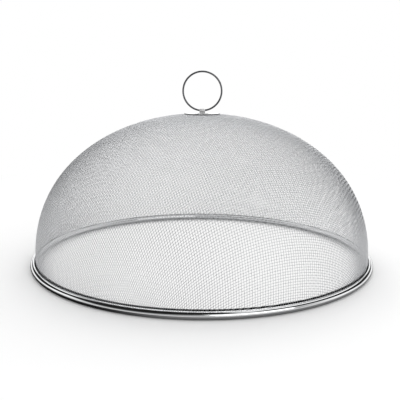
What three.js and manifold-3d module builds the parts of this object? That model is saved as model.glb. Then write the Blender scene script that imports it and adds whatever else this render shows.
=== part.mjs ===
// A stainless steel food cover: a dome of woven wire in a rolled rim, lifted by a ring that tilts in a strap.
// Millimetres, +Z up. The origin is on the axis of the dome, in the plane that the rim stands on. At rest the
// ring stands upright in the XZ plane.
import * as THREE from "three";
import { mergeVertices } from "three/addons/utils/BufferGeometryUtils.js";
import Module from "manifold-3d";

const wasm = await Module();
wasm.setup();

// Gap left between pieces that touch on the real cover.
const seatGap = 0.3;

// Rim band: sheet rolled into a hollow bead, pressed flat underneath where it stands. The mesh goes in through a
// mouth between the end of the bead and a lip that stands up inside the mesh.
const rimDiameter = 350;
const beadDiameter = 7;
const bandSheet = 0.5;
const footWidth = 2;
const mouthGap = 1.25;
const lipHeight = 7.5;

// Mesh: a shell as thick as two crossing wires, opened by a coarse grid that leaves the same share of bars as the
// weave leaves of wire. Its edge is hooked round a hoop inside the bead.
const meshWire = 0.36;
const meshPitch = 2.31;
const gridTurn = THREE.MathUtils.degToRad(25.5);
const gridEdge = 4;
const domeHeight = 150.2;
const radiusPower = 2.03;
const risePower = 2.21;
const hookSweep = THREE.MathUtils.degToRad(170);

// Discs that hold the strap: the rosette on top of the mesh and the washer under it, both pressed to its curve.
const discSheet = 0.7;
const rosetteDiameter = 36;
const washerDiameter = 24;

// Strap: a strip bent round the ring's wire, with both legs through the discs and spread underneath.
const strapWidth = 5.6;
const strapSheet = 0.5;
const legGap = 0.3;
const neckBend = 0.5;
const legBend = 0.6;
const legReach = 5;

// Ring handle.
const ringDiameter = 40.4;
const ringWire = 1.8;

// Facets, and the number of openings of the grid from side to side.
const gridCells = 12;
const roundSides = 60;
const discSides = 32;
const hookSteps = 4;
const discSteps = 4;
const hoopSides = 8;
const boreSteps = 8;
const beadSteps = 9;
const lipSteps = 4;
const bendSteps = 2;
const ringSteps = 48;
const wireSides = 8;

const rimSteel = new THREE.MeshStandardMaterial({ color: 0xd2d3d5, roughness: 0.15, metalness: 1 });
const meshSteel = new THREE.MeshStandardMaterial({ color: 0xb4b6b8, roughness: 0.35, metalness: 1 });
const wireSteel = new THREE.MeshStandardMaterial({ color: 0xa8aaad, roughness: 0.25, metalness: 1 });
const discSteel = new THREE.MeshStandardMaterial({ color: 0xdcdddf, roughness: 0.2, metalness: 1 });

// Section of the bead, seen along the rim: its centre, and how far out the hook of the mesh lies round it.
const beadRadius = beadDiameter / 2;
const beadBore = beadRadius - bandSheet;
const beadMiddle = rimDiameter / 2 - beadRadius;
const beadHeight = Math.sqrt(beadRadius ** 2 - (footWidth / 2) ** 2);
const clothThickness = 2 * meshWire;
const hoopRadius = beadBore - clothThickness - 3 * seatGap;
const hookRadius = hoopRadius + seatGap + clothThickness / 2;

// Face of the inner lip towards the mesh.
const lipRadius = beadMiddle - hookRadius - clothThickness / 2 - seatGap;

// Middle of the cloth: upright just above the bead, and level at the crown.
const wallRadius = beadMiddle - hookRadius;
const wallFoot = beadHeight + beadRadius;
const crown = domeHeight - clothThickness / 2;

// Heights of what is stacked at the crown, and the half width of the pair of legs.
const rosetteTop = domeHeight + seatGap + discSheet;
const washerUnderside = domeHeight - clothThickness - seatGap - discSheet;
const ringRadius = (ringDiameter - ringWire) / 2;
const ringSag = ringRadius - Math.sqrt(ringRadius ** 2 - (strapWidth / 2) ** 2);
const eyeBore = ringWire / 2 + ringSag / 2 + seatGap;
const eyeHeight = rosetteTop + seatGap + strapSheet + eyeBore;
const legsHalfWidth = legGap / 2 + strapSheet;

// A geometry as a solid that can be cut.
function toSolid(geometry) {
  const bare = new THREE.BufferGeometry();
  bare.setAttribute("position", geometry.getAttribute("position"));
  bare.setIndex(geometry.getIndex());
  const merged = mergeVertices(bare);
  return new wasm.Manifold(
    new wasm.Mesh({
      numProp: 3,
      vertProperties: Float32Array.from(merged.getAttribute("position").array),
      triVerts: Uint32Array.from(merged.getIndex().array),
    }),
  );
}

// A cut solid as a geometry with flat faces.
function toGeometry(solid) {
  const { vertProperties, triVerts } = solid.getMesh();
  const indexed = new THREE.BufferGeometry();
  indexed.setAttribute("position", new THREE.BufferAttribute(vertProperties, 3));
  indexed.setIndex(new THREE.BufferAttribute(triVerts, 1));
  const flat = indexed.toNonIndexed();
  flat.computeVertexNormals();
  return flat;
}

// Points of an arc about a centre, each angle measured from the first axis towards the second.
function arc(centre, radius, from, to, steps) {
  const points = [];
  for (let i = 0; i <= steps; i++) {
    const angle = THREE.MathUtils.lerp(from, to, i / steps);
    points.push(
      new THREE.Vector2(centre.x + radius * Math.cos(angle), centre.y + radius * Math.sin(angle)),
    );
  }
  return points;
}

// A path moved sideways, to the left of its direction. A path that begins on the axis stays on it.
function shifted(path, distance) {
  return path.map((point, i) => {
    const onAxis = i === 0 && point.x === 0;
    const before = path[i - 1] ?? (onAxis ? new THREE.Vector2(-path[1].x, path[1].y) : point);
    const after = path[i + 1] ?? point;
    const inward = point.clone().sub(before).normalize();
    const outward = after.clone().sub(point).normalize();
    const along = inward.clone().add(outward).normalize();
    const stretch = Math.max(along.dot(inward), along.dot(outward));
    const left = new THREE.Vector2(-along.y, along.x);
    return point.clone().addScaledVector(left, distance / stretch);
  });
}

// The closed outline of a sheet of some thickness whose middle follows a path.
function sheetOutline(path, thickness) {
  return [...shifted(path, -thickness / 2), ...shifted(path, thickness / 2).reverse()];
}

// A solid made by turning an outline of radii and heights about the Z axis.
function turned(outline, sides) {
  const closed = outline[0].x === 0 ? outline : [...outline, outline[0]];
  return new THREE.LatheGeometry(closed, sides).rotateX(Math.PI / 2);
}

// Height of the middle of the cloth at a distance from the axis.
function clothHeight(radius) {
  const share = (radius / wallRadius) ** radiusPower;
  return wallFoot + (crown - wallFoot) * Math.max(1 - share, 0) ** (1 / risePower);
}

// The middle of the cloth from the crown out to a radius, with the steps closer together at its end.
function clothPath(radius, steps) {
  const points = [];
  for (let i = 0; i <= steps; i++) {
    const reach = radius * Math.sin((Math.PI / 2) * (i / steps));
    points.push(new THREE.Vector2(reach, clothHeight(reach)));
  }
  return points;
}

// The slot through the discs and the mesh that both legs of the strap pass.
function legSlot() {
  const slot = new THREE.BoxGeometry(
    strapWidth + 2 * seatGap,
    2 * (legsHalfWidth + seatGap),
    domeHeight,
  );
  return toSolid(slot.translate(0, 0, domeHeight));
}

// Where a place on the flat grid lies on the cloth: at the same angle, as large a share of the way from the crown
// to the foot, and some height out from the cloth's middle. Past the foot it goes on straight down.
function onCloth(x, y, height) {
  const share = Math.hypot(x, y);
  const angle = Math.atan2(y, x) + gridTurn;
  const reach = wallRadius * Math.sin((Math.PI / 2) * Math.min(share, 1));
  const rise = crown - wallFoot;
  const up = clothHeight(reach) - wallFoot;
  const out = new THREE.Vector2(
    (radiusPower / wallRadius) * (reach / wallRadius) ** (radiusPower - 1),
    (risePower / rise) * (up / rise) ** (risePower - 1),
  ).normalize();
  const radius = reach + height * out.x;
  const below = rise * Math.max(share - 1, 0);
  return [radius * Math.cos(angle), radius * Math.sin(angle), wallFoot + up + height * out.y - below];
}

// The coarse grid as one body over the dome and past its foot. Each opening has a frame out to the middle of the
// bars round it, with a corner more halfway along each side.
function meshGrid() {
  const openShare = 1 - meshWire / meshPitch;
  const skins = [clothThickness / 2, -clothThickness / 2];
  const frame = [
    [-1, -1],
    [0, -1],
    [1, -1],
    [1, 0],
    [1, 1],
    [0, 1],
    [-1, 1],
    [-1, 0],
  ];
  const points = [];
  const addFace = (a, b, c, d) => points.push(...a, ...b, ...c, ...a, ...c, ...d);
  for (let i = 1 - gridCells; i < gridCells; i += 2) {
    for (let j = 1 - gridCells; j < gridCells; j += 2) {
      const bars = frame.map(([x, y]) => [i + x, j + y]);
      const edges = frame.map(([x, y]) => [i + x * openShare, j + y * openShare]);
      const [barOut, barIn, edgeOut, edgeIn] = [bars, edges].flatMap((places) =>
        skins.map((height) => places.map(([x, y]) => onCloth(x / gridCells, y / gridCells, height))),
      );
      for (let k = 0; k < frame.length; k++) {
        const n = (k + 1) % frame.length;
        addFace(barOut[k], barOut[n], edgeOut[n], edgeOut[k]);
        addFace(barIn[k], edgeIn[k], edgeIn[n], barIn[n]);
        addFace(edgeOut[k], edgeOut[n], edgeIn[n], edgeIn[k]);
        const outermost = [0, 1].some((side) => bars[k][side] === bars[n][side] && Math.abs(bars[k][side]) === gridCells);
        if (outermost) addFace(barOut[n], barOut[k], barIn[k], barIn[n]);
      }
    }
  }
  const grid = new THREE.BufferGeometry();
  return grid.setAttribute("position", new THREE.Float32BufferAttribute(points, 3));
}

function makeRimBand() {
  const centre = new THREE.Vector2(beadMiddle, beadHeight);
  const mouth = Math.acos((clothThickness / 2 + mouthGap - hookRadius) / beadRadius);
  const lipInside = Math.acos((lipRadius - bandSheet - beadMiddle) / beadRadius);
  const lipOutside = Math.acos((lipRadius - beadMiddle) / beadBore);
  const footHalfAngle = Math.asin(footWidth / 2 / beadRadius);
  const down = (3 * Math.PI) / 2;
  const turn = 2 * Math.PI;
  const outline = [
    new THREE.Vector2(lipRadius, lipHeight),
    new THREE.Vector2(lipRadius - bandSheet, lipHeight),
    ...arc(centre, beadRadius, lipInside, down - footHalfAngle, lipSteps),
    ...arc(centre, beadRadius, down + footHalfAngle, turn + mouth, beadSteps),
    ...arc(centre, beadBore, turn + mouth, lipOutside, boreSteps),
  ];
  return new THREE.Mesh(turned(outline, roundSides), rimSteel);
}

function makeRimCoreHoop() {
  const centre = new THREE.Vector2(beadMiddle, beadHeight);
  const outline = arc(centre, hoopRadius, 0, 2 * Math.PI, hoopSides).slice(1);
  return new THREE.Mesh(turned(outline, roundSides), wireSteel);
}

// The grid between the rosette and the foot, joined to a plain crown and to a plain edge hooked round the hoop.
function makeMeshDome() {
  const centre = new THREE.Vector2(beadMiddle, beadHeight);
  const edge = [
    new THREE.Vector2(wallRadius, wallFoot + gridEdge),
    new THREE.Vector2(wallRadius, wallFoot),
    ...arc(centre, hookRadius, Math.PI, Math.PI + hookSweep, hookSteps),
  ];
  const crownPath = clothPath(rosetteDiameter / 2 + gridEdge, discSteps);
  const above = new THREE.CylinderGeometry(rimDiameter / 2, rimDiameter / 2, domeHeight, roundSides);
  above.rotateX(Math.PI / 2).translate(0, 0, wallFoot + (gridEdge + domeHeight) / 2);
  const core = new THREE.CylinderGeometry(rosetteDiameter / 2, rosetteDiameter / 2, domeHeight, discSides);
  core.rotateX(Math.PI / 2).translate(0, 0, domeHeight);
  const dome = toSolid(meshGrid())
    .intersect(toSolid(above))
    .subtract(toSolid(core))
    .add(toSolid(turned(sheetOutline(edge, clothThickness), roundSides)))
    .add(toSolid(turned(sheetOutline(crownPath, clothThickness), discSides)))
    .subtract(legSlot());
  return new THREE.Mesh(toGeometry(dome), meshSteel);
}

// A disc pressed to the curve of the mesh. A positive side is above the mesh and a negative one below it.
function makeDisc(diameter, side) {
  const offset = side * (clothThickness / 2 + seatGap + discSheet / 2);
  const path = shifted(clothPath(diameter / 2, discSteps), offset);
  const disc = turned(sheetOutline(path, discSheet), discSides);
  return new THREE.Mesh(toGeometry(toSolid(disc).subtract(legSlot())), discSteel);
}

// The strap's middle line in the YZ plane: along one leg, round the eye, and down the other leg.
function strapPath() {
  const legHeight = washerUnderside - seatGap - strapSheet / 2;
  const legOffset = legsHalfWidth - strapSheet / 2;
  const eyeRadius = eyeBore + strapSheet / 2;
  const neckOffset = legOffset + neckBend;
  const neckDrop = Math.sqrt((eyeRadius + neckBend) ** 2 - neckOffset ** 2);
  const neckAngle = Math.atan2(neckDrop, -neckOffset);
  const bend = new THREE.Vector2(legOffset + legBend, legHeight + legBend);
  const neck = new THREE.Vector2(neckOffset, eyeHeight - neckDrop);
  const half = [
    new THREE.Vector2(legReach, legHeight),
    ...arc(bend, legBend, -Math.PI / 2, -Math.PI, 2 * bendSteps),
    ...arc(neck, neckBend, Math.PI, neckAngle, bendSteps),
    ...arc(new THREE.Vector2(0, eyeHeight), eyeRadius, neckAngle - Math.PI, Math.PI / 2, 4 * bendSteps).slice(1),
  ];
  const mirrored = half.slice(0, -1).map((point) => new THREE.Vector2(-point.x, point.y));
  return [...half, ...mirrored.reverse()];
}

function makeHandleStrap() {
  const outline = sheetOutline(strapPath(), strapSheet);
  const strip = new THREE.ExtrudeGeometry(new THREE.Shape(outline), {
    depth: strapWidth,
    bevelEnabled: false,
  });
  strip.translate(0, 0, -strapWidth / 2).rotateX(Math.PI / 2).rotateZ(Math.PI / 2);
  return new THREE.Mesh(strip, discSteel);
}

// The ring hangs in a group whose X axis is the strap's eye, so that turning the group tilts the ring.
function makeRingHandle() {
  const ring = new THREE.TorusGeometry(ringRadius, ringWire / 2, wireSides, ringSteps);
  const mesh = new THREE.Mesh(ring, wireSteel);
  mesh.rotation.x = Math.PI / 2;
  mesh.position.z = ringRadius - ringSag / 2;
  return mesh;
}

function named(name, mesh) {
  mesh.name = name;
  return mesh;
}

const handle = new THREE.Group();
handle.position.z = eyeHeight;
handle.add(named("ring_handle", makeRingHandle()));

const cover = new THREE.Group();
cover.add(
  named("rim_band", makeRimBand()),
  named("rim_core_hoop", makeRimCoreHoop()),
  named("mesh_dome", makeMeshDome()),
  named("rosette", makeDisc(rosetteDiameter, 1)),
  named("under_washer", makeDisc(washerDiameter, -1)),
  named("handle_strap", makeHandleStrap()),
  handle,
);

export default cover;
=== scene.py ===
# A stainless steel food cover, in metres: a dome of woven wire in a rolled rim, and a ring to lift it.
import math

import bpy
import numpy as np
from mathutils import Matrix, Vector


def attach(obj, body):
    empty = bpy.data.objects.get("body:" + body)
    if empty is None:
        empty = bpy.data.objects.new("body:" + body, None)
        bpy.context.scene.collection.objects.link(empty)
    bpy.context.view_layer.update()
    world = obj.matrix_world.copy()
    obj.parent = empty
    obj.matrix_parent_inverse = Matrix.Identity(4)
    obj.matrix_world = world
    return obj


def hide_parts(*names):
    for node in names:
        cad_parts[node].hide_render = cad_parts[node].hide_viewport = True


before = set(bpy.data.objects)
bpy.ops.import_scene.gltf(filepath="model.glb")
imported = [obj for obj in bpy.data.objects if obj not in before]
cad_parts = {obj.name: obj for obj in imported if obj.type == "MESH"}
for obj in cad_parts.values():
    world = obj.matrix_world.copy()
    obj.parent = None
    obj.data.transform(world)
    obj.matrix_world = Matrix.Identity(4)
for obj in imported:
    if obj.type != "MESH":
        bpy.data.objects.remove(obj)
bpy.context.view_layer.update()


# Rim band: stainless strip, rolled into a bead round the edge of the mesh and pressed flat underneath.
# Polished outside, it mirrors the room in long lines. Inside and at its cut edge it is rougher and painted
# dark grey, a painted shade for the crease where the mesh goes in. The lip thins towards its edge, so that
# its top mirrors the wall and its foot the floor.
MM = 0.001
RIM_DIAMETER = 350 * MM
BEAD_RADIUS = 3.5 * MM
BAND_SHEET = 0.5 * MM
FOOT_HALF_WIDTH = 1 * MM
BEAD_MIDDLE = RIM_DIAMETER / 2 - BEAD_RADIUS
BEAD_HEIGHT = math.sqrt(BEAD_RADIUS**2 - FOOT_HALF_WIDTH**2)
MOUTH_END = math.radians(97.06)
LIP_RADIUS = 168.8 * MM
LIP_HEIGHT = 7.5 * MM
LIP_NOSE = 0.1 * MM
LIP_CURVE = 22 * MM
LIP_LEAN = math.radians(3)
RIM_STEPS = 320
RIM_CREASE = 20
NOSE_STEPS = 12
INSIDE_STEPS = 32
STREAK_LENGTH = 25 * MM
STREAK_WIDTH = 0.3 * MM
STREAK_DEPTH = 0.002 * MM
SOFT_CREASE = 40


def arc(centre, radius, start, end, steps):
    """Points of an arc in a plane: centre + radius (cos a, sin a), with a going from start to end."""
    a = np.linspace(start, end, steps + 1)
    return np.column_stack([centre[0] + radius * np.cos(a), centre[1] + radius * np.sin(a)])


def add_mesh(name, points, *faces, crease=SOFT_CREASE):
    """A piece with these points and faces, where each array of faces has one number of corners. The sum
    of the faces' signed volumes says whether they face inwards, and then each is turned round. Edges that
    bend by more than the crease, in degrees, stay sharp."""
    fans = [np.stack([f[:, 0], f[:, k], f[:, k + 1]], 1) for f in faces for k in range(1, f.shape[1] - 1)]
    a, b, c = (points[np.concatenate(fans)[:, k]] for k in range(3))
    if np.einsum("ij,ij->", a, np.cross(b, c)) < 0:
        faces = [f[:, ::-1] for f in faces]
    sizes = np.concatenate([np.full(len(f), f.shape[1]) for f in faces])
    corners = np.concatenate([f.ravel() for f in faces]).astype(np.int32)
    mesh = bpy.data.meshes.new(name)
    mesh.vertices.add(len(points))
    mesh.vertices.foreach_set("co", points.astype(np.float32).ravel())
    mesh.loops.add(len(corners))
    mesh.polygons.add(len(sizes))
    mesh.polygons.foreach_set("loop_start", (np.cumsum(sizes) - sizes).astype(np.int32))
    mesh.polygons.foreach_set("vertices", corners)
    mesh.update(calc_edges=True)
    mesh.shade_smooth()
    mesh.set_sharp_from_angle(angle=math.radians(crease))
    piece = bpy.data.objects.new(name, mesh)
    bpy.context.scene.collection.objects.link(piece)
    return piece


def add_grid(name, grid, closed_rows=True, crease=SOFT_CREASE):
    """A piece whose skin is a grid of points. Each point of row i and column j makes a face with the next
    ones of i and of j. The columns close on themselves. So do the rows, or they end in flat caps."""
    rows, columns = grid.shape[:2]
    number = np.arange(rows * columns).reshape(rows, columns)
    below = np.roll(number, -1, 0)
    caps = []
    if not closed_rows:
        caps = [np.stack([number[0][::-1], number[-1]])]
        number, below = number[:-1], below[:-1]
    quads = np.stack([number, np.roll(number, -1, 1), np.roll(below, -1, 1), below], -1).reshape(-1, 4)
    return add_mesh(name, grid.reshape(-1, 3), quads, *caps, crease=crease)


def turn(outline, steps):
    """An outline of radii and heights carried round the Z axis: (r cos a, r sin a, z) at equal angles."""
    a = np.linspace(0, 2 * np.pi, steps, endpoint=False)[:, None]
    r, z = outline[:, 0], outline[:, 1]
    return np.stack([r * np.cos(a), r * np.sin(a), z + 0 * a], -1)


def linear(hex_colour):
    """Linear colour of an sRGB value: a part c is c / 12.92, past 0.04045 ((c + 0.055) / 1.055)^2.4."""
    parts = [int(hex_colour[k : k + 2], 16) / 255 for k in (1, 3, 5)]
    return [c / 12.92 if c <= 0.04045 else ((c + 0.055) / 1.055) ** 2.4 for c in parts] + [1]


def add_node(tree, kind, settings=None, **inputs):
    """Adds a node with its settings. An input is given by its name, with _ for a space, or by n and its
    place, and takes a value or a socket."""
    made = tree.nodes.new("ShaderNode" + kind)
    for key, value in (settings or {}).items():
        setattr(made, key, value)
    for key, value in inputs.items():
        name = int(key[1:]) if key[0] == "n" and key[1:].isdigit() else key.replace("_", " ")
        if isinstance(value, bpy.types.NodeSocket):
            tree.links.new(value, made.inputs[name])
        else:
            made.inputs[name].default_value = value
    return made


def new_steel(name, colour):
    """A material with a metal shader of one colour on its output, and that shader."""
    material = bpy.data.materials.new(name)
    material.use_nodes = True
    material.node_tree.nodes.clear()
    shader = add_node(material.node_tree, "BsdfPrincipled", Base_Color=linear(colour), Metallic=1)
    add_node(material.node_tree, "OutputMaterial", Surface=shader.outputs[0])
    return material, shader


def streaked_steel(name, colour, smoothest, roughest, length, width, depth=STREAK_DEPTH):
    """Steel with streaks that run along the piece. The streaks are noise in four dimensions: slow with
    the place on the piece, and quick with the distance across it, which the UV map holds in metres. Real
    streaks are finer than a pixel, so they are drawn as wide as they need to be to soften what the steel
    mirrors."""
    material, shader = new_steel(name, colour)
    tree = material.node_tree
    place = add_node(tree, "TexCoord").outputs["Object"]
    across = add_node(tree, "SeparateXYZ", Vector=add_node(tree, "UVMap").outputs[0]).outputs[1]
    quick = add_node(tree, "Math", {"operation": "MULTIPLY"}, n0=across, n1=1 / width).outputs[0]
    streaks = add_node(
        tree, "TexNoise", {"noise_dimensions": "4D"}, Vector=place, W=quick, Scale=1 / length, Detail=3
    ).outputs[0]
    rough = add_node(
        tree, "MapRange", Value=streaks, From_Min=0.3, From_Max=0.7, To_Min=smoothest, To_Max=roughest
    )
    tree.links.new(rough.outputs[0], shader.inputs["Roughness"])
    bump = add_node(tree, "Bump", Height=streaks, Distance=depth, Strength=1)
    tree.links.new(bump.outputs[0], shader.inputs["Normal"])
    return material


def lay_uv(piece, along, across):
    """Writes a UV map from the distances of each vertex along and across the piece, in metres."""
    corners = np.empty(len(piece.data.loops), np.int32)
    piece.data.loops.foreach_get("vertex_index", corners)
    places = np.column_stack([along.ravel(), across.ravel()])[corners]
    piece.data.uv_layers.new(name="UVMap").data.foreach_set("uv", places.astype(np.float32).ravel())


# The strip's outline starts at the top of the lip and goes down its inner face, under the foot and up the
# outside of the bead to the mouth. It comes back along the inside of the sheet.
bead_centre = (BEAD_MIDDLE, BEAD_HEIGHT)
nose = BAND_SHEET / 2
foot_half_angle = math.asin(FOOT_HALF_WIDTH / BEAD_RADIUS)
DOWN, TURN = 1.5 * math.pi, 2 * math.pi
lip_inside = math.acos((LIP_RADIUS - BAND_SHEET - BEAD_MIDDLE) / BEAD_RADIUS)
lip_outside = math.acos((LIP_RADIUS - BEAD_MIDDLE) / (BEAD_RADIUS - BAND_SHEET))
lip_foot = arc(bead_centre, BEAD_RADIUS, lip_inside, lip_inside, steps=1)[0]
lip_centre = lip_foot + LIP_CURVE * np.array([math.cos(LIP_LEAN), -math.sin(LIP_LEAN)])
lip_top = math.pi - math.asin((LIP_HEIGHT - LIP_NOSE - lip_centre[1]) / LIP_CURVE)
bead_end = TURN + MOUTH_END - nose / (BEAD_RADIUS - nose)
bead_nose = arc(bead_centre, BEAD_RADIUS - nose, bead_end, bead_end, steps=1)[0]
bead_outline = np.concatenate([
    arc((LIP_RADIUS - LIP_NOSE, LIP_HEIGHT - LIP_NOSE), LIP_NOSE, 0, math.pi, NOSE_STEPS),
    arc(lip_centre, LIP_CURVE, lip_top, math.pi - LIP_LEAN, steps=6)[1:-1],
    arc(bead_centre, BEAD_RADIUS, lip_inside, DOWN - foot_half_angle, steps=20),
    arc(bead_centre, BEAD_RADIUS, DOWN + foot_half_angle, bead_end, steps=44),
    arc(bead_nose, nose, bead_end, bead_end + math.pi, NOSE_STEPS)[1:-1],
    arc(bead_centre, BEAD_RADIUS - BAND_SHEET, bead_end, lip_outside, INSIDE_STEPS),
])
rim = add_grid("rolled_rim", turn(bead_outline, RIM_STEPS), crease=RIM_CREASE)
outline_lengths = np.linalg.norm(np.diff(bead_outline, axis=0, prepend=bead_outline[:1]), axis=1).cumsum()
lay_uv(
    rim,
    np.repeat(np.arange(RIM_STEPS) * math.pi * RIM_DIAMETER / RIM_STEPS, len(bead_outline)),
    np.tile(outline_lengths, RIM_STEPS),
)
# Belt polishing leaves the outside almost a mirror, whose long lines the streaks soften a little.
rim.data.materials.append(streaked_steel(
    "polished_rolled_stainless", "#d6d7d8", smoothest=0.04, roughest=0.12,
    length=STREAK_LENGTH, width=STREAK_WIDTH
))
# The mill's own finish, which no belt reaches, leaves the inside and the cut edge dull. Their dark grey is
# painted shade, for the shadowed crease where the mesh goes into the bead.
rim.data.materials.append(streaked_steel(
    "mill_finish_painted_shade", "#3a3b3c", smoothest=0.35, roughest=0.5,
    length=STREAK_LENGTH, width=STREAK_WIDTH
))
# Painted shade: the lip's cut edge and the inside of the sheet take the dark grey material.
painted_shade_faces = np.zeros(len(bead_outline), np.int32)
painted_shade_faces[:NOSE_STEPS] = 1
painted_shade_faces[-INSIDE_STEPS - 1 :] = 1
rim.data.polygons.foreach_set("material_index", np.tile(painted_shade_faces, RIM_STEPS))
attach(rim, "cover")
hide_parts("rim_band")


# Core hoop: a stiff drawn wire inside the bead, which the edge of the mesh is hooked round. Only a sliver
# of it shows from inside the cover. Drawing through a die leaves it bright, a little duller in places.
HOOP_GRAIN = 2 * MM


def drawn_steel(name, colour, grain, **roughness):
    """Drawn steel whose roughness wanders with noise of one grain, mapped to it from end to end."""
    material, shader = new_steel(name, colour)
    tree = material.node_tree
    place = add_node(tree, "TexCoord").outputs["Object"]
    grains = add_node(tree, "TexNoise", Vector=place, Scale=1 / grain, Detail=2).outputs[0]
    rough = add_node(tree, "MapRange", Value=grains, **roughness)
    tree.links.new(rough.outputs[0], shader.inputs["Roughness"])
    return material


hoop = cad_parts["rim_core_hoop"]
hoop.data.materials.clear()
hoop.data.materials.append(
    drawn_steel("drawn_stainless_wire_in_rim", "#c4c5c7", HOOP_GRAIN, To_Min=0.2, To_Max=0.4)
)


# Mesh dome: plain woven stainless wire, 11 wires to the inch, pressed over a form. The wires don't
# stretch, so the square holes close up into diamonds between the two directions of the wires, most at the
# foot. Its edge goes down into the bead. Each wire is bright, and bends over and under at every crossing.
WIRE = 0.36 * MM
PITCH = 25.4 * MM / 11
CLOTH_TURN = math.radians(25.5)
DOME_TOP = 150.2 * MM
RADIUS_POWER, RISE_POWER = 2.03, 2.21
HOOP_ROOM = 2.04 * MM
WALL_RADIUS = BEAD_MIDDLE - HOOP_ROOM
WALL_FOOT = BEAD_HEIGHT + BEAD_RADIUS
CROWN = DOME_TOP - WIRE
WIRE_END = 2.2 * MM
WIRE_SIDES = 5
WIRE_GRAIN = 6 * MM
STATION = 0.25
LEG_SLOT = (3.1 * MM, 0.95 * MM)
PROFILE_STEPS = 4000
PAST_WALL = 60 * MM
SPARE_WIRES = 6
PAST_END = 3 * PITCH
NEWTON_ROUNDS = 6
SMALL_STEP = 1e-6
LEAST_SCALE = 1e-14
LONGEST_MOVE, WIDEST_TURN = 1 * MM, 0.3
NO_CREASE = 180
BUNDLES = 4

# The profile is close to an ellipse: the radius is a power of the sine of an angle that goes down from
# the crown, and the height is a power of its cosine. A straight wall follows, for the crossings past the
# edge.
angle_down = np.linspace(0, math.pi / 2, PROFILE_STEPS + 1)
dome_profile = np.column_stack([
    WALL_RADIUS * np.sin(angle_down) ** (2 / RADIUS_POWER),
    WALL_FOOT + (CROWN - WALL_FOOT) * np.cos(angle_down) ** (2 / RISE_POWER),
])
dome_profile = np.concatenate([dome_profile, [[WALL_RADIUS, WALL_FOOT - PAST_WALL]]])
dome_steps = np.diff(dome_profile, axis=0)
down_dome = np.concatenate([[0], np.linalg.norm(dome_steps, axis=1).cumsum()])
dome_slope = dome_steps / np.linalg.norm(dome_steps, axis=1)[:, None]
dome_slope = np.concatenate([[[1, 0]], (dome_slope[1:] + dome_slope[:-1]) / 2, [[0, -1]]])
lean = np.arctan2(dome_profile[:, 0], dome_profile[:, 1] - WALL_FOOT)


def on_dome(down, azimuth):
    """The point of the cloth's middle at a distance down from the crown, measured along the dome, and an
    angle round it: (r cos a, r sin a, z), with r and z read from the profile."""
    r, z = (np.interp(down, down_dome, dome_profile[:, k]) for k in (0, 1))
    return np.stack([r * np.cos(azimuth), r * np.sin(azimuth), z], -1)


def stand_off(points):
    """The outward direction of the dome at points of it: (-z' cos a, -z' sin a, r'), with r' and z' the
    slopes of the profile there."""
    azimuth = np.arctan2(points[..., 1], points[..., 0])
    angle = np.arctan2(np.hypot(points[..., 0], points[..., 1]), points[..., 2] - WALL_FOOT)
    slope_r, slope_z = (np.interp(angle, lean, dome_slope[:, k]) for k in (0, 1))
    return np.stack([-slope_z * np.cos(azimuth), -slope_z * np.sin(azimuth), slope_r], -1)


def crossings():
    """Where the wires cross, for a cloth laid on the dome without stretching. The wires through the crown
    follow the dome straight down. Every other crossing is one pitch from its neighbour on each of its two
    wires, and is found by Newton's method for its distance down and its angle round, one diagonal row at
    a time. A quarter is worked out and turned into the other three."""
    half = int(down_dome[-2] / PITCH) + SPARE_WIRES
    down = np.arange(half) * PITCH
    quarter = np.full((half, half, 3), np.nan)
    quarter[:, 0], quarter[0] = on_dome(down, 0 * down), on_dome(down, 0 * down + math.pi / 2)
    for row in range(2, 2 * half - 1):
        i = np.arange(max(1, row - half + 1), min(half - 1, row - 1) + 1)
        j = row - i
        one, other = quarter[i - 1, j], quarter[i, j - 1]
        guess = one + other - quarter[i - 1, j - 1]
        azimuth = np.arctan2(guess[:, 1], guess[:, 0])
        down = np.interp(
            np.arctan2(np.hypot(guess[:, 0], guess[:, 1]), guess[:, 2] - WALL_FOOT), lean, down_dome
        )
        for _ in range(NEWTON_ROUNDS):
            here = on_dome(down, azimuth)
            ahead = on_dome(down + SMALL_STEP, azimuth) - on_dome(down - SMALL_STEP, azimuth)
            ahead = ahead / (2 * SMALL_STEP)
            aside = np.stack([-here[:, 1], here[:, 0], 0 * down], -1)
            miss_one = ((here - one) ** 2).sum(1) - PITCH**2
            miss_other = ((here - other) ** 2).sum(1) - PITCH**2
            a, b = 2 * ((here - one) * ahead).sum(1), 2 * ((here - one) * aside).sum(1)
            c, d = 2 * ((here - other) * ahead).sum(1), 2 * ((here - other) * aside).sum(1)
            scale = a * d - b * c
            scale = np.where(np.abs(scale) < LEAST_SCALE, LEAST_SCALE, scale)
            move, swing = (miss_one * d - miss_other * b) / scale, (a * miss_other - c * miss_one) / scale
            down = down - np.clip(move, -LONGEST_MOVE, LONGEST_MOVE)
            azimuth = azimuth - np.clip(swing, -WIDEST_TURN, WIDEST_TURN)
        here = on_dome(down, azimuth)
        here[here[:, 2] < WIRE_END - PAST_END] = np.nan
        quarter[i, j] = here
    cloth = np.full((2 * half - 1, 2 * half - 1, 3), np.nan)
    i, j = np.meshgrid(np.arange(half), np.arange(half), indexing="ij")
    i, j = i.ravel(), j.ravel()
    for quarters, (row, column) in enumerate([(i, j), (-j, i), (-i, -j), (j, -i)]):
        angle = CLOTH_TURN + quarters * math.pi / 2
        round_z = np.array([
            [math.cos(angle), -math.sin(angle), 0], [math.sin(angle), math.cos(angle), 0], [0, 0, 1]
        ])
        cloth[row + half - 1, column + half - 1] = quarter[i, j] @ round_z.T
    return cloth


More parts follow.
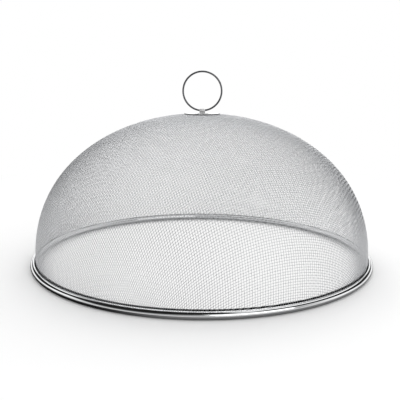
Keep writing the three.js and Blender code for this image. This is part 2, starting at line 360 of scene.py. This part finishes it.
def wires(cloth, first_side):
    """Tubes along the first index of a cloth's crossings. A wire's line passes two stations for each
    crossing, a quarter of the pitch before and after it, half a wire above the cloth's middle or below it
    by turns. Round each station stand the tube's corners. A wire ends where it is in the bead, or in the
    slot for the strap. Gives the corners, and for each wire and station whether it is there."""
    out = stand_off(cloth)
    rows, columns = np.indices(cloth.shape[:2])
    side = (first_side * (-1.0) ** (rows + columns))[..., None] * WIRE / 2
    raised = out * side
    after = (1 - STATION) * cloth[:-1] + STATION * cloth[1:] + raised[:-1]
    before = STATION * cloth[:-1] + (1 - STATION) * cloth[1:] + raised[1:]
    line = np.stack([after, before], 1).reshape(-1, *after.shape[1:])
    there = np.isfinite(line).all(-1) & (np.nan_to_num(line[..., 2], nan=-1) > WIRE_END)
    there &= ~((np.abs(line[..., 0]) < LEG_SLOT[0]) & (np.abs(line[..., 1]) < LEG_SLOT[1]))
    there[1:-1] &= there[2:] | there[:-2]
    along = np.empty_like(line)
    along[1:-1] = line[2:] - line[:-2]
    along[0], along[-1] = line[1] - line[0], line[-1] - line[-2]
    along /= np.linalg.norm(along, axis=-1)[..., None]
    beside = np.cross(along, np.stack([out[:-1], out[1:]], 1).reshape(line.shape))
    beside /= np.linalg.norm(beside, axis=-1)[..., None]
    above = np.cross(beside, along)
    a = (np.arange(WIRE_SIDES) * 2 * math.pi / WIRE_SIDES)[:, None]
    round_wire = np.cos(a) * above[..., None, :] + np.sin(a) * beside[..., None, :]
    corners = line[..., None, :] + WIRE / 2 * round_wire
    return corners.transpose(1, 0, 2, 3), there.T


def add_wires(name, corners, there):
    """One piece of some wires: a ring of quads between stations that are both there, and a cap at each
    end. The tubes have few sides, so no edge of them is kept sharp."""
    number = np.full(there.shape, -1)
    number[there] = np.arange(there.sum()) * WIRE_SIDES
    k = np.arange(WIRE_SIDES)
    start, end = number[:, :-1], number[:, 1:]
    both = (start >= 0) & (end >= 0)
    start, end = start[both][:, None], end[both][:, None]
    quads = np.stack([start + k, start + np.roll(k, -1), end + np.roll(k, -1), end + k], -1).reshape(-1, 4)
    padded = np.pad(there, ((0, 0), (1, 1)))
    first, last = there & ~padded[:, :-2], there & ~padded[:, 2:]
    caps = np.concatenate([number[first][:, None] + k[::-1], number[last][:, None] + k])
    return add_mesh(name, corners[there].reshape(-1, 3), quads, caps, crease=NO_CREASE)


# Drawing and weaving leave the wire's skin softly bright, a little rougher in some places than in others.
woven_steel = drawn_steel(
    "woven_stainless_wire", "#c8c9cb", WIRE_GRAIN, From_Min=0.3, From_Max=0.7, To_Min=0.28, To_Max=0.42
)
cloth = crossings()
for family, laid, side in (("warp", cloth, 1), ("weft", cloth.transpose(1, 0, 2), -1)):
    corners, there = wires(laid, side)
    share = np.cumsum(there.sum(1)) / there.sum()
    for bundle in range(BUNDLES):
        mine = (share > bundle / BUNDLES) & (share <= (bundle + 1) / BUNDLES)
        piece = add_wires(f"{family}_wires_{bundle + 1}", corners[mine], there[mine])
        piece.data.materials.append(woven_steel)
        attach(piece, "cover")
        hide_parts("mesh_dome")


# Rosette and under washer: discs blanked from sheet and pressed to the curve of the mesh, one above it
# and one below, which the strap's legs clamp. The press leaves the faces bright. The blanked edge is dull,
# and painted dark grey as painted shade, so it shows as a thin dark line.
DISC_SHEET = 0.7 * MM
ROSETTE_DIAMETER = 36 * MM
WASHER_DIAMETER = 24 * MM
SEAT_GAP = 0.3 * MM
DISC_STEPS, FLAT_STEPS, EDGE_STEPS = 128, 15, 8


def pressed_disc(name, diameter, side):
    """A disc on the dome with a slot for the legs. At each angle round it the sheet's outline goes out
    from the slot to the edge and back, with round ends. A point at a share of the way is carried to the
    dome's profile and stands off it by its height in the sheet."""
    a = np.linspace(0, 2 * math.pi, DISC_STEPS, endpoint=False)[:, None]
    with np.errstate(divide="ignore"):
        slot = np.minimum(LEG_SLOT[0] / np.abs(np.cos(a)), LEG_SLOT[1] / np.abs(np.sin(a)))
    edge = diameter / 2
    t = DISC_SHEET / 2
    out_edge = arc((0, 0), t, -math.pi / 2, math.pi / 2, EDGE_STEPS)
    flat = np.linspace(0, 1, FLAT_STEPS + 2)[1:-1]
    reach = np.concatenate([flat, np.ones(EDGE_STEPS + 1), flat[::-1], [0, 0]])
    past = np.concatenate([0 * flat, out_edge[:, 0] - t, 0 * flat, [0, 0]])
    height = np.concatenate([0 * flat - t, out_edge[:, 1], 0 * flat + t, [t, -t]])
    r = slot + (edge - slot) * reach + past
    down = np.interp(r, dome_profile[:-1, 0], down_dome[:-1])
    foot = on_dome(down, a + 0 * r)
    offset = side * (WIRE + SEAT_GAP + t) + height
    skin = foot + stand_off(foot) * np.broadcast_to(offset, r.shape)[..., None]
    disc = add_grid(name, skin)
    lay_uv(disc, a + 0 * r, r)
    return disc


# The press's polished tools leave the faces smooth, with a softened mirror image.
pressed_steel = streaked_steel(
    "pressed_stainless_sheet", "#d2d3d4", smoothest=0.12, roughest=0.26, length=12 * MM, width=0.8 * MM
)
# Blanking tears the edge, so it scatters the light. Its dark grey is painted shade, which shows as a thin
# dark line between the bright faces.
painted_shade_edge_steel = streaked_steel(
    "blanked_edge_painted_shade", "#3a3b3c", smoothest=0.35, roughest=0.5, length=12 * MM, width=0.2 * MM
)
# Painted shade: the faces round the blanked edge take the dark grey material.
blanked = np.zeros(2 * FLAT_STEPS + EDGE_STEPS + 3, np.int32)
blanked[FLAT_STEPS : FLAT_STEPS + EDGE_STEPS] = 1
for name, node, diameter, side in (
    ("pressed_rosette", "rosette", ROSETTE_DIAMETER, 1),
    ("pressed_washer", "under_washer", WASHER_DIAMETER, -1),
):
    disc = pressed_disc(name, diameter, side)
    disc.data.materials.append(pressed_steel)
    disc.data.materials.append(painted_shade_edge_steel)
    disc.data.polygons.foreach_set("material_index", np.tile(blanked, DISC_STEPS))
    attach(disc, "cover")
    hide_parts(node)


# Handle strap: a strip of sheet bent round the ring's wire. Both legs pass through the discs and the mesh
# and are spread underneath, which holds the stack together. It was tumbled after cutting, which leaves it
# matt. Its near-white colour, paler than the discs, is a painted highlight for the softbox that it
# mirrors.
STRAP_WIDTH = 5.6 * MM
STRAP_SHEET = 0.5 * MM
STRAP_CORNER = 0.12 * MM
LEG_GAP = 0.3 * MM
NECK_BEND = 0.5 * MM
LEG_BEND = 0.6 * MM
LEG_REACH = 5 * MM
RING_DIAMETER = 40.4 * MM
RING_WIRE = 1.8 * MM

ring_radius = (RING_DIAMETER - RING_WIRE) / 2
ring_sag = ring_radius - math.sqrt(ring_radius**2 - (STRAP_WIDTH / 2) ** 2)
rosette_top = DOME_TOP + SEAT_GAP + DISC_SHEET
washer_underside = DOME_TOP - 2 * WIRE - SEAT_GAP - DISC_SHEET
eye_bore = RING_WIRE / 2 + ring_sag / 2 + SEAT_GAP
eye_height = rosette_top + SEAT_GAP + STRAP_SHEET + eye_bore
eye_radius = eye_bore + STRAP_SHEET / 2
leg_offset = (LEG_GAP + STRAP_SHEET) / 2
leg_height = washer_underside - SEAT_GAP - STRAP_SHEET / 2
neck_offset = leg_offset + NECK_BEND
neck_drop = math.sqrt((eye_radius + NECK_BEND) ** 2 - neck_offset**2)
neck_angle = math.atan2(neck_drop, -neck_offset)
half_strap = np.concatenate([
    [[LEG_REACH, leg_height], [LEG_REACH / 2, leg_height]],
    arc((leg_offset + LEG_BEND, leg_height + LEG_BEND), LEG_BEND, -math.pi / 2, -math.pi, steps=8),
    arc((neck_offset, eye_height - neck_drop), NECK_BEND, math.pi, neck_angle, steps=6),
    arc((0, eye_height), eye_radius, neck_angle - math.pi, math.pi / 2, steps=28)[1:],
])
strap_line = np.concatenate([half_strap, (half_strap * [-1, 1])[-2::-1]])


def carried(line, section):
    """A section carried along a line in the YZ plane. At each point of the line the section's second part
    is laid off along the line's left side, and its first along X."""
    ahead = np.gradient(line, axis=0)
    ahead /= np.linalg.norm(ahead, axis=1)[:, None]
    left = np.column_stack([-ahead[:, 1], ahead[:, 0]])
    y, z = (line[:, None, k] + section[None, :, 1] * left[:, None, k] for k in (0, 1))
    return np.stack([section[:, 0] + 0 * y, y, z], -1)


half_width, half_sheet = STRAP_WIDTH / 2 - STRAP_CORNER, STRAP_SHEET / 2 - STRAP_CORNER
strap_section = np.concatenate([
    arc((half_width * sx, half_sheet * sy), STRAP_CORNER, math.pi / 2 * k, math.pi / 2 * (k + 1), steps=3)
    for k, (sx, sy) in enumerate([(1, 1), (-1, 1), (-1, -1), (1, -1)])
])
strap = add_grid("bent_strap", carried(strap_line, strap_section), closed_rows=False)
strap_along = np.linalg.norm(np.diff(strap_line, axis=0, prepend=strap_line[:1]), axis=1).cumsum()
strap_across = np.tile(strap_section[:, 0], len(strap_line))
lay_uv(strap, np.repeat(strap_along, len(strap_section)), strap_across)
# Painted highlight: the near-white colour stands in for the softbox that the strap mirrors.
strap.data.materials.append(streaked_steel(
    "tumbled_strip_painted_highlight", "#f6f6f6", smoothest=0.65, roughest=0.9,
    length=6 * MM, width=0.4 * MM, depth=2 * STREAK_DEPTH
))
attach(strap, "cover")
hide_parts("handle_strap")


# Ring: drawn wire bent to a circle, free to tilt in the strap's eye. The die leaves it smooth, with soft
# lines along the wire. Its dark grey colour, darker than the sheet, is a painted reflection of the dark
# room round it, so it shows a dark middle between bright edges.
RING_STEPS, RING_SIDES = 192, 24
ring_middle = eye_height + ring_radius - ring_sag / 2
# A torus that stands up: b goes round the wire, and a carries the wire round the ring's middle.
a = np.linspace(0, 2 * math.pi, RING_STEPS, endpoint=False)[:, None]
b = np.linspace(0, 2 * math.pi, RING_SIDES, endpoint=False)[None, :]
reach = ring_radius + RING_WIRE / 2 * np.cos(b)
ring_skin = np.stack([
    reach * np.cos(a), RING_WIRE / 2 * np.sin(b) + 0 * a, ring_middle + reach * np.sin(a)
], -1)
ring = add_grid("wire_ring", ring_skin)
lay_uv(ring, a * ring_radius + 0 * b, b * RING_WIRE / 2 + 0 * a)
# Painted reflection: the dark grey colour stands in for the dark room that the ring mirrors.
ring.data.materials.append(streaked_steel(
    "drawn_stainless_wire", "#5c5d5f", smoothest=0.12, roughest=0.25, length=15 * MM, width=0.4 * MM
))
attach(ring, "ring")
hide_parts("ring_handle")


# Floor: a plain white studio sweep, matt, that keeps the soft shadow of the cover. The steel mirrors it
# as white far off. Under the cover it is painted light: looked at or mirrored, it is mostly white there,
# which lifts most of the cover's shadow. Close to the rim, in mirror rays only, it is painted shade,
# deepest on the left, which the bead shows as a dark line along its foot.
FLOOR_HALF = 40.0
FLOOR_DROP = 0.02 * MM
FAR_OFF = (0.2, 0.6)
UNDER_COVER, UNDER_PAINTED_WHITE = (168 * MM, 150 * MM), 0.8
BESIDE_RIM = (192 * MM, 179 * MM)
SHADY_SIDE, SHADY_REACH = (-0.8, -0.6, 0), (120 * MM, 165 * MM)
SHADE_LEAST, SHADE_MOST = 0.65, 0.97


def eased(tree, value, low, high, **limits):
    """A value eased from 0 at the low end to 1 at the high end: t^2 (3 - 2 t), with t its share."""
    ease = {"interpolation_type": "SMOOTHSTEP"}
    return add_node(tree, "MapRange", ease, Value=value, From_Min=low, From_Max=high, **limits).outputs[0]


def combined(tree, operation, one, other=0):
    """The outcome of a sum on one value or two."""
    return add_node(tree, "Math", {"operation": operation}, n0=one, n1=other).outputs[0]


def dot_product(tree, one, other):
    """How far one vector reaches along the other: the sum of the products of their parts."""
    return add_node(tree, "VectorMath", {"operation": "DOT_PRODUCT"}, n0=one, n1=other).outputs["Value"]


floor_mesh = bpy.data.meshes.new("studio_floor")
floor_corners = [(x * FLOOR_HALF, y * FLOOR_HALF, 0) for x, y in ((-1, -1), (1, -1), (1, 1), (-1, 1))]
floor_mesh.from_pydata(floor_corners, [], [(0, 1, 2, 3)])
floor = bpy.data.objects.new("studio_floor", floor_mesh)
bpy.context.scene.collection.objects.link(floor)
floor.location.z = -FLOOR_DROP
floor_paint = bpy.data.materials.new("matt_white_sweep")
floor_paint.use_nodes = True
sweep = floor_paint.node_tree
sweep.nodes.clear()
spot = add_node(sweep, "TexCoord").outputs["Object"]
away = add_node(sweep, "VectorMath", {"operation": "LENGTH"}, n0=spot).outputs["Value"]
ray = add_node(sweep, "LightPath").outputs
mirrored = combined(sweep, "MAXIMUM", ray["Is Glossy Ray"], ray["Is Transmission Ray"])
looked_at = combined(sweep, "MAXIMUM", ray["Is Camera Ray"], mirrored)
# Painted light: under the cover the sweep is mostly white emission when looked at or mirrored.
under = eased(sweep, away, *UNDER_COVER, To_Max=UNDER_PAINTED_WHITE)
white_part = combined(sweep, "ADD", under, eased(sweep, away, *FAR_OFF))
white_part = combined(sweep, "MULTIPLY", white_part, looked_at)
# Painted shade: in mirror rays only, the sweep just outside the rim is mixed towards black, most on the
# left front.
side = dot_product(sweep, spot, SHADY_SIDE)
shade = eased(sweep, side, *SHADY_REACH, To_Min=SHADE_LEAST, To_Max=SHADE_MOST)
shade = combined(sweep, "MULTIPLY", shade, eased(sweep, away, *BESIDE_RIM))
shade = combined(sweep, "MULTIPLY", shade, combined(sweep, "GREATER_THAN", away, BEAD_MIDDLE))
shade = combined(sweep, "MULTIPLY", shade, mirrored)
matt = add_node(sweep, "BsdfDiffuse", Color=linear("#f6f6f6")).outputs[0]
white = add_node(sweep, "Emission", Color=(1, 1, 1, 1), Strength=1).outputs[0]
dark = add_node(sweep, "BsdfDiffuse", Color=(0, 0, 0, 1)).outputs[0]
lit = add_node(sweep, "MixShader", n0=white_part, n1=matt, n2=white).outputs[0]
shaded = add_node(sweep, "MixShader", n0=shade, n1=lit, n2=dark).outputs[0]
add_node(sweep, "OutputMaterial", Surface=shaded)
floor_mesh.materials.append(floor_paint)


# Studio: white walls, greyer in front, and a white ceiling. The room is dark in a band between wall and
# ceiling on either side, and in a wide gap of the ceiling on the left. The steel mirrors all of it, and a
# softbox in front on the right. More light comes from behind, so the shadow falls forwards.
FRONT_WALL, WALL_WHITE, WALL_RISE = 0.45, 1.45, (-0.6, 0.2)
DARK_ROOM = 0.02
GAP_MIDDLE, GAP_EDGE = (-0.449, -0.281, 0.848), (0.8, 0.7)
BAND_SLOPE, BAND_MIDDLE, BAND_EDGE = (0, 0.6, 1), 0.66, (0.2, 0.26)
BAND_ENDS, BAND_FOOT = (0.5, 0.3), (0.2, 0.08)
FRONT_FILL, BACK_FILL, FILL_RISE = 0.5, 1.3, (-0.5, 0.5)
# Each lamp's name, place, width, height and watts. It faces the middle of the cover's foot.
LAMPS = (
    ("back_softbox", (0, 0.9, 1.3), 1.2, 0.8, 5.0),
    ("front_right_softbox", (0.63, -1.05, 0.55), 1.2, 0.8, 4.6),
)
world = bpy.data.worlds.new("studio")
bpy.context.scene.world = world
world.use_nodes = True
sky = world.node_tree
sky.nodes.clear()
aim = add_node(sky, "TexCoord").outputs["Generated"]
towards = add_node(sky, "SeparateXYZ", Vector=aim).outputs
walls = eased(sky, towards[1], *WALL_RISE, To_Min=FRONT_WALL, To_Max=WALL_WHITE)
ceiling = eased(sky, dot_product(sky, aim, GAP_MIDDLE), *GAP_EDGE)
off_band = combined(sky, "SUBTRACT", dot_product(sky, aim, BAND_SLOPE), BAND_MIDDLE)
off_band = eased(sky, combined(sky, "ABSOLUTE", off_band), *BAND_EDGE)
past_band = eased(sky, combined(sky, "ABSOLUTE", towards[0]), *BAND_ENDS)
past_band = combined(sky, "MAXIMUM", past_band, eased(sky, towards[2], *BAND_FOOT))
sides = combined(sky, "MAXIMUM", off_band, past_band)
white = combined(sky, "MULTIPLY", combined(sky, "MULTIPLY", walls, ceiling), sides)
room = combined(sky, "MAXIMUM", white, DARK_ROOM)
fill = eased(sky, towards[1], *FILL_RISE, To_Min=FRONT_FILL, To_Max=BACK_FILL)
ray = add_node(sky, "LightPath").outputs
mirrored = add_node(
    sky, "Mix", {"data_type": "FLOAT"}, n0=ray["Is Glossy Ray"], n2=fill, n3=room
).outputs[0]
looked_at = combined(sky, "MAXIMUM", ray["Is Camera Ray"], ray["Is Transmission Ray"])
level = add_node(sky, "Mix", {"data_type": "FLOAT"}, n0=looked_at, n2=mirrored, n3=1.0).outputs[0]
background = add_node(sky, "Background", Color=(1, 1, 1, 1), Strength=level).outputs[0]
add_node(sky, "OutputWorld", Surface=background)

for name, place, width, height, watts in LAMPS:
    lamp = bpy.data.lights.new(name, "AREA")
    lamp.shape, lamp.size, lamp.size_y, lamp.energy = "RECTANGLE", width, height, watts
    stand = bpy.data.objects.new(name, lamp)
    stand.location = place
    stand.rotation_euler = Vector(place).to_track_quat("Z", "Y").to_euler()
    bpy.context.scene.collection.objects.link(stand)


# Camera: in front of the cover and above it, looking down on the rim. Its place and lens were fitted to
# the outline of the dome, the curves of the rim and the ring.
CAMERA_DISTANCE = 638.9 * MM
CAMERA_HEIGHT = 193.8 * MM
CAMERA_PITCH = math.radians(11.744)
CAMERA_YAW = math.radians(0.172)
CAMERA_ROLL = math.radians(0.248)
SENSOR_MILLIMETRES, LENS_MILLIMETRES = 36, 56.56
camera_data = bpy.data.cameras.new("camera")
camera_data.sensor_width = SENSOR_MILLIMETRES
camera_data.lens = LENS_MILLIMETRES
camera = bpy.data.objects.new("camera", camera_data)
bpy.context.scene.collection.objects.link(camera)
camera.matrix_world = (
    Matrix.Translation((0, -CAMERA_DISTANCE, CAMERA_HEIGHT))
    @ Matrix.Rotation(CAMERA_YAW, 4, "Z")
    @ Matrix.Rotation(math.pi / 2 - CAMERA_PITCH, 4, "X")
    @ Matrix.Rotation(CAMERA_ROLL, 4, "Z")
)
bpy.context.scene.camera = camera
bpy.context.scene.view_settings.view_transform = "Standard"
